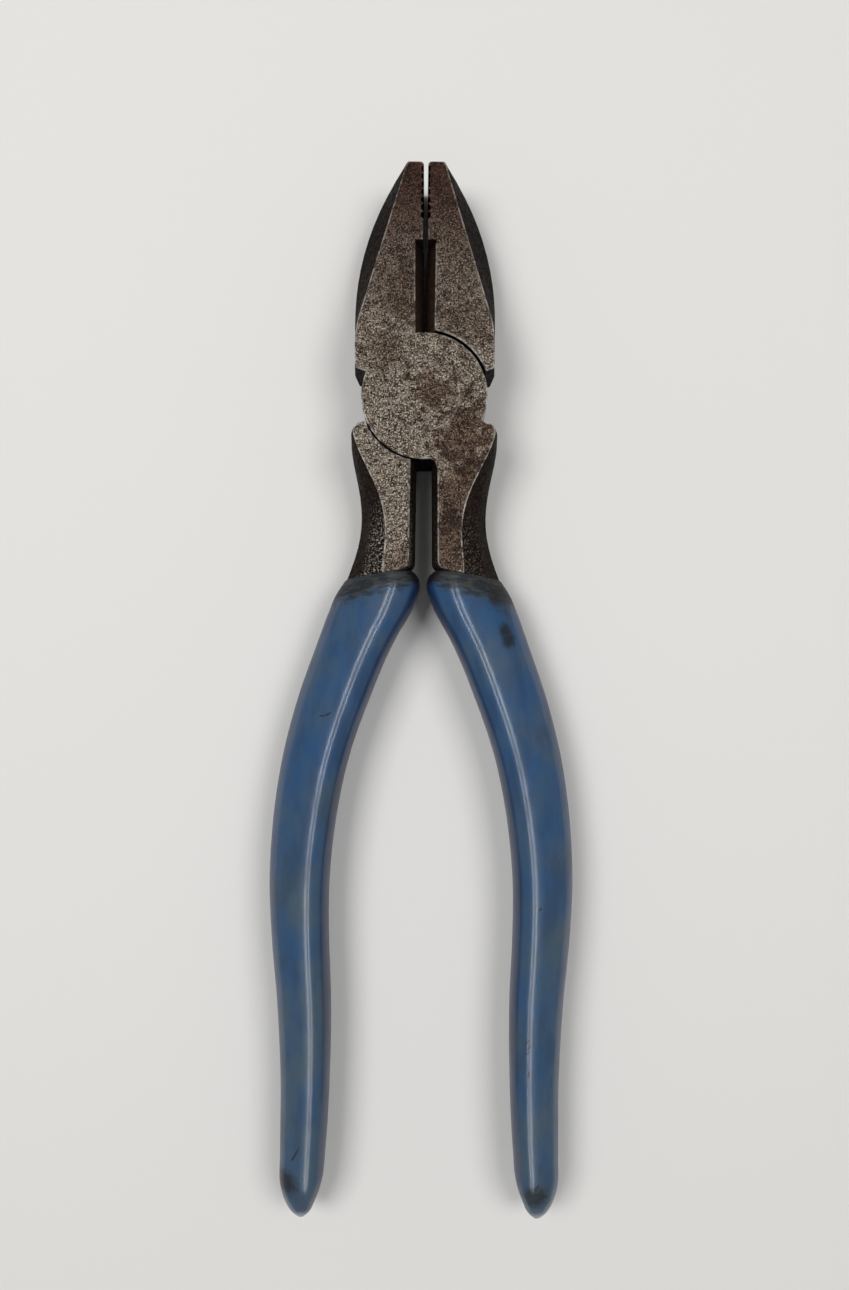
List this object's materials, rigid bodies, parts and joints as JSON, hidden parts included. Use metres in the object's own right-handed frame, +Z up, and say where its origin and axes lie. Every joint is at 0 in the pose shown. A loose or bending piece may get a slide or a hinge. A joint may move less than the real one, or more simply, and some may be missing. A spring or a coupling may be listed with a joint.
{
  "type": "lineman pliers",
  "caption": "High-leverage side-cutting lineman's pliers with a flush riveted lap joint, toothed square nose, cutting knives and bowed dipped handles.",
  "frame": {"origin": "where the pivot axis meets the head's lower flat face, which is the face the pliers rest on", "axes": "+Z up along the pivot axis, +Y from the pivot towards the nose, +X to the right seen from above with the nose away"},
  "size_m": [0.0692, 0.2378, 0.0159],
  "materials": {
    "forged_steel": "ground and worn bare steel, pitted, with brown stains",
    "rivet_steel": "ground flush with the joint",
    "blue_dip": "glossy dipped plastic, dirty at the collars"
  },
  "bodies": {
    "right_jaw_body": {"right_jaw_half": "forged_steel", "left_handle_grip": "blue_dip", "pivot_rivet": "rivet_steel"},
    "left_jaw_body": {"left_jaw_half": "forged_steel", "right_handle_grip": "blue_dip"}
  },
  "joints": [
    {"name": "pivot", "type": "hinge", "parent": "right_jaw_body", "child": "left_jaw_body", "pos_m": [0, 0, 0.00795], "axis": [0, 0, 1], "range_deg": [-0.9, 43.5]}
  ]
}
